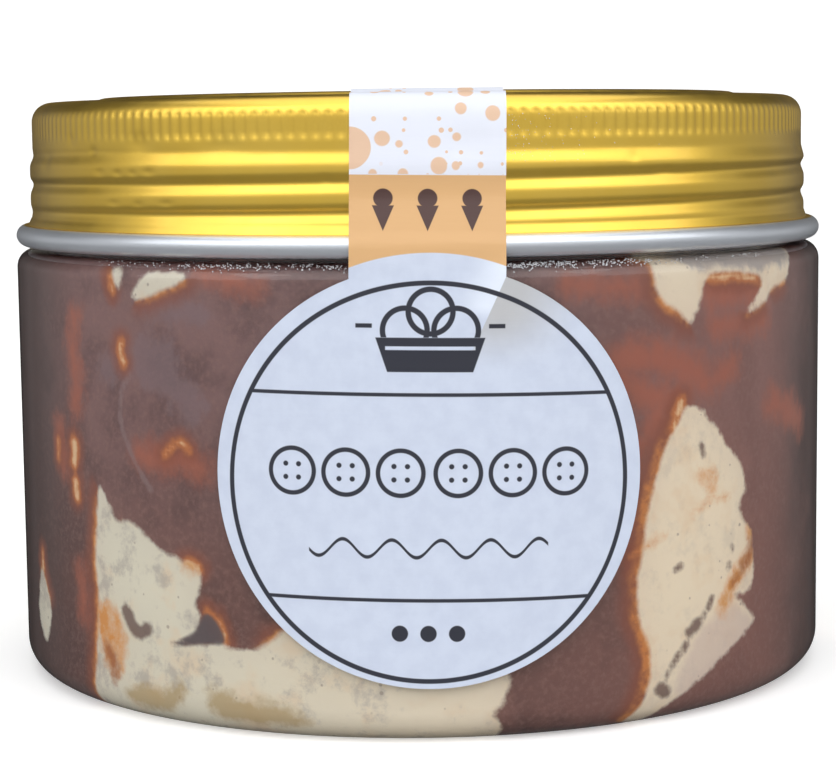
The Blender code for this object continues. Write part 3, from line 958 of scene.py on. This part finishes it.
def lift_off(across, along):
    """How far the label stands off what it is stuck to: a fold at its upper right, a loose edge
    beside it, and the strip where it bridges the lid's thread, but for two dents. All in
    millimetres."""
    fold = np.array(FOLD_TO) - np.array(FOLD_FROM)
    run_way = fold / np.linalg.norm(fold)
    beside = (across - FOLD_FROM[0]) * -run_way[1] + (along - FOLD_FROM[1]) * run_way[0]
    onward = (across - FOLD_FROM[0]) * run_way[0] + (along - FOLD_FROM[1]) * run_way[1]
    reach = smooth_step(onward, -2.5, 0.5) * (1 - smooth_step(onward, 4.5, 7.5))
    fold = np.where(beside > 0, np.exp(-beside / 2.2), np.exp(-(beside / 0.5) ** 2)) * reach
    loose = smooth_step(across + along, 16.0, 26.0) * (1 - smooth_step(along, 17.0, 20.0))
    strip = smooth_step(along, 25.0, 27.5) * (1 - smooth_step(along, 31.0, 33.5))
    dent = np.exp(-((across - 3.6) / 1.8) ** 2 - ((along - 30.0) / 1.6) ** 2)
    second_dent = np.exp(-((across - 1.0) / 2.4) ** 2 - ((along - 32.6) / 1.0) ** 2)
    return 0.3 * fold + 0.12 * loose + 0.22 * strip * (1 - dent) * (1 - 0.6 * second_dent)


def wrap_on_jar(piece):
    """Bends a flat piece, drawn in X and Y, onto jar and lid. Its Z is how far it stands off."""
    path, lengths = label_way()
    flat = places(piece)
    across, along, off = flat.T
    off = off + lift_off(across / MM, along / MM) * MM
    distance = np.clip(along + WRAP_STARTS_BELOW, 0, lengths[-1])
    radius = np.interp(distance, lengths, path[:, 0])
    height = np.interp(distance, lengths, path[:, 1])
    ahead = np.clip(distance + 0.3 * MM, 0, lengths[-1])
    behind = np.clip(distance - 0.3 * MM, 0, lengths[-1])
    lean_r = np.interp(ahead, lengths, path[:, 0]) - np.interp(behind, lengths, path[:, 0])
    lean_z = np.interp(ahead, lengths, path[:, 1]) - np.interp(behind, lengths, path[:, 1])
    length = np.hypot(lean_r, lean_z)
    radius = radius + off * lean_z / length
    height = height - off * lean_r / length
    jar_surface = JAR_RADIUS + LABEL_STANDS_OFF
    turn = (across + LABEL_SHIFT) / jar_surface
    set_back = radius - jar_surface * (1 - np.cos(turn))
    set_places(piece, np.column_stack([jar_surface * np.sin(turn), -set_back, height]))


def cut_across(normal, first, last, step):
    """Cuts the mesh in edit mode by evenly spaced planes about a step apart, so that it can bend."""
    count = int((last - first) / step)
    for index in range(1, count):
        place = Vector(normal) * (first + (last - first) * index / count)
        bpy.ops.mesh.select_all(action="SELECT")
        bpy.ops.mesh.bisect(plane_co=place, plane_no=normal)


def make_label():
    top = float(label_way()[1][-1]) - WRAP_STARTS_BELOW
    deselect()
    bpy.ops.mesh.primitive_circle_add(vertices=160, radius=1.0, fill_type="NGON")
    label = bpy.context.object
    label.name = "label"
    label.scale = (LABEL_HALF_WIDTH, LABEL_HALF_HEIGHT, 1)
    label.location = (*LABEL_MIDDLE, 0)
    bpy.ops.object.transform_apply(location=True, rotation=False, scale=True)
    deselect()
    bpy.ops.mesh.primitive_plane_add(size=1, location=(0, 0, 0))
    strip = bpy.context.object
    strip.scale = (STRIP_WIDTH, top - STRIP_STARTS_AT, 1)
    strip.location = (STRIP_MIDDLE, (top + STRIP_STARTS_AT) / 2, 0)
    bpy.ops.object.transform_apply(location=True, rotation=False, scale=True)
    strip.data.materials.clear()
    label.data.materials.clear()
    for piece in (label, strip):
        thick = piece.modifiers.new("thick", "SOLIDIFY")
        thick.thickness = LABEL_THICKNESS
        thick.offset = 1.0
        select_only(piece)
        bpy.ops.object.modifier_apply(modifier="thick")
    join = label.modifiers.new("join", "BOOLEAN")
    join.operation = "UNION"
    join.object = strip
    select_only(label)
    bpy.ops.object.modifier_apply(modifier="join")
    bpy.data.objects.remove(strip)
    bpy.ops.object.mode_set(mode="EDIT")
    cut_across((1, 0, 0), -LABEL_HALF_WIDTH, LABEL_HALF_WIDTH, 0.8 * MM)
    cut_across((0, 1, 0), -WRAP_STARTS_BELOW, top, 0.5 * MM)
    bpy.ops.mesh.select_all(action="DESELECT")
    bpy.ops.object.mode_set(mode="OBJECT")
    give_flat_uv(label)
    lean_label(label)
    wrap_on_jar(label)
    bpy.ops.object.shade_smooth_by_angle(angle=math.radians(50))
    label.data.materials.append(label_print())
    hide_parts("seal_label")
    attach(label, "root")


def give_flat_uv(piece):
    """A UV map in millimetres, as the label lies flat."""
    layer = piece.data.uv_layers.new(name="flat")
    flat = places(piece)[:, :2] / MM
    corners = np.empty(len(piece.data.loops), int)
    piece.data.loops.foreach_get("vertex_index", corners)
    layer.data.foreach_set("uv", flat[corners].ravel())


def lean_label(piece):
    """Turns the flat label a little about (0, 0), as it was stuck on."""
    points = places(piece)
    cosine, sine = math.cos(LABEL_LEAN), math.sin(LABEL_LEAN)
    across, along = points[:, 0].copy(), points[:, 1].copy()
    points[:, 0] = across * cosine - along * sine
    points[:, 1] = np.maximum(across * sine + along * cosine, -WRAP_STARTS_BELOW)
    set_places(piece, points)


def reach_at(height):
    """How far up the flat label, in millimetres, a height on the wrapped one is."""
    path, lengths = label_way()
    return float(np.interp(height, path[:, 1], lengths) - WRAP_STARTS_BELOW) / MM


def ring_of(wiring, flat, centre, radius, line):
    """A circle's outline on the flat map, as wide as the line."""
    outer = wiring.disc(flat, centre, radius + line / 2)
    return wiring.without(outer, wiring.disc(flat, centre, radius - line / 2))


def biscuit_row(wiring, flat, middle_height, places_across, radius):
    """Round sandwich biscuits seen from above, each a ring with four holes."""
    row = []
    for across in places_across:
        centre = (across, middle_height)
        row.append(ring_of(wiring, flat, centre, radius, 0.42))
        hole = radius * 0.42
        for step in range(4):
            turn = math.radians(45 + 90 * step)
            spot = (across + hole * math.cos(turn), middle_height + hole * math.sin(turn))
            row.append(wiring.disc(flat, spot, 0.24))
    return wiring.either(*row)


def cone(wiring, flat, x, y, centre, size):
    """A wafer cone with one scoop."""
    scoop = wiring.disc(flat, (centre[0], centre[1] + size * 0.45), size * 0.42)
    width = wiring.math("MULTIPLY_ADD", y, 0.42, -0.42 * (centre[1] - size))
    beside = wiring.math("ABSOLUTE", wiring.math("SUBTRACT", x, centre[0]))
    wafer = wiring.ramp(wiring.math("SUBTRACT", beside, width), 0.04, -0.04)
    below = wiring.ramp(y, centre[1] + size * 0.16, centre[1] + size * 0.1)
    return wiring.either(scoop, wiring.both(wafer, below))


def emblem(wiring, flat, x, y):
    """A cup with three scoops and a short dash at each side."""
    scoops = []
    for centre in ((-2.3, 13.2), (2.3, 13.2), (0.0, 14.9)):
        scoops.append(ring_of(wiring, flat, centre, 2.0, 0.5))
    above = wiring.either(*scoops)
    width = wiring.math("MULTIPLY_ADD", y, 0.35, 4.9 - 0.35 * 12.4)
    beside = wiring.math("ABSOLUTE", x)
    bowl = wiring.ramp(wiring.math("SUBTRACT", beside, width), 0.06, -0.06)
    bowl = wiring.both(bowl, wiring.band(y, 11.0, 1.55))
    stripe = wiring.both(wiring.band(y, 11.6, 0.16), wiring.ramp(beside, 4.1, 4.0))
    over_bowl = wiring.ramp(y, 12.5, 12.6)
    dashes = wiring.both(wiring.band(beside, 6.0, 0.75), wiring.band(y, 13.6, 0.2))
    return wiring.either(wiring.both(above, over_bowl), wiring.without(bowl, stripe), dashes)


def strip_dots(wiring, flat, per_mm, smallest, largest, share, shift):
    """Scattered round dots of uneven size, in a share of the cells of a pattern that is shifted."""
    shifted = wiring.nodes.new("ShaderNodeVectorMath")
    shifted.operation = "ADD"
    wiring.put(shifted.inputs[0], flat)
    shifted.inputs[1].default_value = shift
    away, size, pick = wiring.cells(shifted.outputs[0], per_mm, 0.6, "2D")
    radius = wiring.math("MULTIPLY_ADD", size, largest - smallest, smallest)
    inside = wiring.ramp(wiring.math("SUBTRACT", away, radius), 0.03, -0.03)
    return wiring.both(inside, wiring.ramp(pick, 1 - share, 1.02 - share))


def face_ink(wiring, flat, x, y):
    """What is printed dark on the round face: a ring with two rules across it, an emblem, a row of
    biscuits, a wavy line and three dots."""
    wider = wiring.nodes.new("ShaderNodeMapping")
    wider.inputs["Scale"].default_value = (1.0, RING_WIDER, 1.0)
    wiring.put(wider.inputs["Vector"], flat)
    ring_flat = wider.outputs[0]
    in_ring = wiring.disc(ring_flat, RING_CENTRE, RING_RADIUS)
    rules = wiring.either(*[wiring.band(y, height, RULE_HALF_LINE) for height in RULE_HEIGHTS])
    wave = wiring.math("SINE", wiring.math("MULTIPLY", x, 1.4))
    wave_line = wiring.band(wiring.math("MULTIPLY_ADD", wave, -0.8, y), WAVE_HEIGHT, RULE_HALF_LINE)
    return wiring.either(
        ring_of(wiring, ring_flat, RING_CENTRE, RING_RADIUS, RING_LINE),
        wiring.both(rules, in_ring),
        emblem(wiring, flat, x, y),
        biscuit_row(wiring, flat, BISCUIT_HEIGHT, BISCUITS_ACROSS, BISCUIT_RADIUS),
        wiring.both(wave_line, wiring.band(x, 0.0, 11.0)),
        *[wiring.disc(flat, (across, DOTS_HEIGHT), 0.75) for across in DOTS_ACROSS],
    )


def label_paper(wiring, flat, x, y):
    """Pale blue film, with painted light making it whiter on the strip, painted light left of the
    crease and painted shade right of it.
    """
    fibre = wiring.noise(flat, 0.5, 4.0)
    paper = wiring.mix(wiring.ramp(fibre, 0.3, 0.7), srgb(195, 204, 223), srgb(202, 211, 229))
    # Painted light: the same paper is made whiter up on the strip, as if more light falls there.
    paper = wiring.tinted(paper, srgb(224, 228, 240), y, 18.0, 30.0)
    from_crease = wiring.math("MULTIPLY_ADD", y, CREASE_NORMAL[1], CREASE_OFFSET)
    from_crease = wiring.math("MULTIPLY_ADD", x, CREASE_NORMAL[0], from_crease)
    # Painted light left of the crease and painted shade right of it, where the fold turns the label
    # from the light.
    at_crease = wiring.both(wiring.ramp(y, 14.0, 15.6), wiring.ramp(y, 23.0, 21.0))
    lit_left_of_crease = wiring.both(at_crease, wiring.ramp(from_crease, 0.04, -0.04))
    paper = wiring.tinted(paper, srgb(222, 230, 244), from_crease, -4.0, -0.2, lit_left_of_crease)
    shaded_right_of_crease = wiring.both(wiring.ramp(from_crease, -0.04, 0.04), wiring.ramp(y, 9.0, 15.0))
    shaded_right_of_crease = wiring.both(shaded_right_of_crease, 0.75)
    return wiring.tinted(paper, srgb(180, 178, 174), from_crease, 9.0, 1.0, shaded_right_of_crease)


def label_print():
    """Paper, an orange field with cones at the foot of the strip, dots above it, and the ink."""
    material, wiring = new_material("label_print")
    uv = wiring.nodes.new("ShaderNodeUVMap")
    uv.uv_map = "flat"
    flat = uv.outputs[0]
    x, y, _ = wiring.split(flat)

    orange_top = reach_at(ORANGE_TOP)
    field = wiring.both(wiring.ramp(y, 13.0, 13.1), wiring.ramp(y, orange_top, orange_top - 0.08))
    field = wiring.without(field, wiring.disc(flat, (0, 0.25), 19.9))
    cone_height = reach_at(CONE_HEIGHT)
    cones = wiring.either(*[
        cone(wiring, flat, x, y, (across, cone_height), CONE_SIZE) for across in CONES_ACROSS
    ])
    dots = wiring.either(
        strip_dots(wiring, flat, 0.4, 0.1, 0.33, 0.8, (3.1, 0.4, 0)),
        strip_dots(wiring, flat, 1.0, 0.12, 0.24, 0.16, (0.7, 5.2, 0)),
        wiring.disc(flat, (-7.3, orange_top + 2.3), 1.9),
    )
    colour = wiring.mix(field, label_paper(wiring, flat, x, y), srgb(214, 170, 118))
    share_of_dots = wiring.both(dots, 0.85)
    dot_colour = srgb(222, 180, 140)
    colour = wiring.tinted(colour, dot_colour, y, orange_top, orange_top + 0.05, share_of_dots)
    colour = wiring.mix(wiring.both(cones, field), colour, srgb(76, 50, 46))
    colour = wiring.mix(face_ink(wiring, flat, x, y), colour, srgb(44, 46, 58))
    stretched = wiring.nodes.new("ShaderNodeMapping")
    wiring.put(stretched.inputs["Vector"], flat)
    stretched.inputs["Scale"].default_value = (0.12, 1.0, 1.0)
    ripples = wiring.noise(stretched.outputs[0], 0.8, 3.0)
    wiring.surface({
        "Base Color": colour,
        "Roughness": 0.42,
        "Normal": wiring.bump(ripples, 0.25, 0.12 * MM),
    })
    return material


# Frozen dew

def make_dew():
    """Fine drops on the jar's shoulder, and on the lid right of the label. Each is at a random place
    within its stretch, and its size is random too, in millimetres."""
    draw = np.random.default_rng(DEW_SEED)
    shoulder = shoulder_centre()
    deselect()
    drops = []
    for low, high, count in DEW_ON_SHOULDER:
        for _ in range(count):
            lean = math.radians(draw.normal(*DEW_LEAN))
            radius = shoulder[0] + SHOULDER_RADIUS * math.cos(lean)
            height = shoulder[1] + SHOULDER_RADIUS * math.sin(lean)
            turn = draw.uniform(low, high) / JAR_RADIUS * MM
            drops.append((turn, radius, height, draw.uniform(*SHOULDER_DROPS)))
    for _ in range(DEW_ON_LID):
        turn = (7.4 + draw.exponential(3.0)) * MM / LID_BAND_RADIUS
        height = draw.uniform(52.9, 57.2) * MM
        radius = skirt_radius(height) - float(thread_groove(turn, height))
        drops.append((turn, radius, height, draw.uniform(*LID_DROPS)))
    bpy.ops.mesh.primitive_ico_sphere_add(subdivisions=1, radius=MM)
    first = bpy.context.object
    first.data.materials.clear()
    for turn, radius, height, size in drops:
        drop = first.copy()
        drop.location = (radius * math.sin(turn), -radius * math.cos(turn), height)
        drop.scale = (size, size, size)
        bpy.context.scene.collection.objects.link(drop)
        drop.select_set(True)
    first.select_set(False)
    bpy.context.view_layer.objects.active = drop
    drop.data = first.data.copy()
    bpy.ops.object.join()
    bpy.ops.object.transform_apply(location=True, rotation=True, scale=True)
    bpy.data.objects.remove(first)
    dew = bpy.context.object
    dew.name = "dew"
    bpy.ops.object.shade_smooth()
    dew.data.materials.append(frozen_water())
    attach(dew, "root")


def frozen_water():
    """Half clear and half milky."""
    material, wiring = new_material("frozen_dew")
    milk = wiring.noise(wiring.object_place(), 3.0, 2.0)
    wiring.surface({
        "Base Color": wiring.mix(milk, (0.9, 0.93, 1.0, 1.0), (1.0, 1.0, 1.0, 1.0)),
        "Roughness": 0.15,
        "IOR": 1.31,
        "Transmission Weight": 0.45,
    })
    return material


# Stage

def make_stage():
    """A pale floor that sweeps up behind. It glows a little for the camera alone, and gloss doesn't
    mirror it."""
    deselect()
    bpy.ops.mesh.primitive_plane_add(size=1.6, location=(0, 0.3, 0))
    floor = bpy.context.object
    floor.name = "floor"
    bpy.ops.object.transform_apply(location=True, rotation=False, scale=True)
    bpy.ops.object.mode_set(mode="EDIT")
    bpy.ops.mesh.select_mode(type="EDGE")
    bpy.ops.mesh.select_all(action="DESELECT")
    bpy.ops.object.mode_set(mode="OBJECT")
    for edge in floor.data.edges:
        edge.select = all(floor.data.vertices[index].co.y > 1.0 for index in edge.vertices)
    bpy.ops.object.mode_set(mode="EDIT")
    bpy.ops.mesh.extrude_region_move(TRANSFORM_OT_translate={"value": (0, 0, 1.2)})
    bpy.ops.mesh.select_mode(type="VERT")
    bpy.ops.object.mode_set(mode="OBJECT")
    soften = floor.modifiers.new("sweep", "BEVEL")
    soften.width = 0.35
    soften.segments = 16
    bpy.ops.object.modifier_apply(modifier="sweep")
    bpy.ops.object.shade_smooth()
    material, wiring = new_material("pale_floor")
    rays = wiring.nodes.new("ShaderNodeLightPath")
    wiring.surface({
        "Base Color": (0.88, 0.88, 0.88, 1.0),
        "Roughness": 0.9,
        "Emission Color": (1.0, 1.0, 1.0, 1.0),
        "Emission Strength": wiring.math("MULTIPLY", rays.outputs["Is Camera Ray"], 0.32),
    })
    floor.data.materials.append(material)
    floor.visible_glossy = False


def add_softbox(name, place, look_at, width, height, watts):
    lamp = bpy.data.lights.new(name, "AREA")
    lamp.shape = "RECTANGLE"
    lamp.size = width
    lamp.size_y = height
    lamp.energy = watts
    holder = bpy.data.objects.new(name, lamp)
    holder.location = place
    holder.rotation_euler = (Vector(look_at) - Vector(place)).to_track_quat("-Z", "Y").to_euler()
    bpy.context.scene.collection.objects.link(holder)


def light_the_stage():
    """Broad soft light from above, and a room that is bright in front and dim behind, most of all
    high up. The camera sees it as plain white."""
    middle = (0, 0, 0.03)
    add_softbox("key", (0.0, -0.64, 0.68), middle, 1.7, 0.75, 5.0)
    add_softbox("wing_left", (-0.85, -0.36, 0.6), middle, 0.7, 0.7, 1.6)
    add_softbox("wing_right", (0.85, -0.36, 0.6), middle, 0.7, 0.7, 1.5)
    add_softbox("top", (0, 0.1, 1.0), middle, 1.2, 1.0, 3.6)
    world = bpy.data.worlds.new("studio")
    world.use_nodes = True
    wiring = Wiring(world.node_tree)
    direction = wiring.nodes.new("ShaderNodeTexCoord")
    _, back, up = wiring.split(direction.outputs["Generated"])
    front = wiring.nodes.new("ShaderNodeValToRGB")
    wiring.put(front.inputs["Fac"], wiring.ramp(back, -1.0, 1.0, smooth=False))
    front.color_ramp.interpolation = "EASE"
    stops = front.color_ramp.elements
    stops[0].position = 0.0
    stops[0].color = (0.62, 0.62, 0.62, 1.0)
    stops[1].position = 0.985
    stops[1].color = (0.03, 0.03, 0.03, 1.0)
    for position, strength in ((0.5, 0.5), (0.8, 0.38), (0.9, 0.2), (0.955, 0.09)):
        stops.new(position).color = (strength, strength, strength, 1.0)
    above_floor = wiring.ramp(up, -0.25, 0.0, smooth=False, lowest=0.48)
    room = wiring.both(front.outputs["Color"], above_floor)
    high_up = wiring.ramp(up, 0.1, 0.4, smooth=False)
    high_behind = wiring.both(high_up, wiring.ramp(back, 0.15, 0.5, smooth=False))
    dimmed = wiring.both(room, wiring.math("MULTIPLY_ADD", high_behind, -0.85, 1.0))
    rays = wiring.nodes.new("ShaderNodeLightPath")
    background = wiring.nodes["Background"]
    background.inputs["Color"].default_value = (1, 1, 1, 1)
    wiring.put(background.inputs["Strength"], wiring.either(rays.outputs["Is Camera Ray"], dimmed))
    bpy.context.scene.world = world


def place_camera():
    """A close viewpoint, a little left of the label's middle and just below the lid's top."""
    distance = 246.0 * MM
    height = 55.52 * MM
    round_by = -0.0215
    turn_left = 0.00064
    tilt_down = 0.1119
    roll = -0.0116
    camera = bpy.data.cameras.new("camera")
    camera.lens = 98.34
    camera.sensor_width = 36
    camera.clip_start = 0.01
    holder = bpy.data.objects.new("camera", camera)
    holder.location = (distance * math.sin(round_by), -distance * math.cos(round_by), height)
    heading = (
        Matrix.Rotation(round_by + turn_left, 3, "Z")
        @ Matrix.Rotation(math.pi / 2 - tilt_down, 3, "X")
        @ Matrix.Rotation(roll, 3, "Z")
    )
    holder.rotation_euler = heading.to_euler()
    bpy.context.scene.collection.objects.link(holder)
    bpy.context.scene.camera = holder


make_jar()
make_gelato()
make_lid()
make_label()
make_dew()
make_stage()
light_the_stage()
place_camera()
bpy.context.scene.view_settings.view_transform = "Standard"
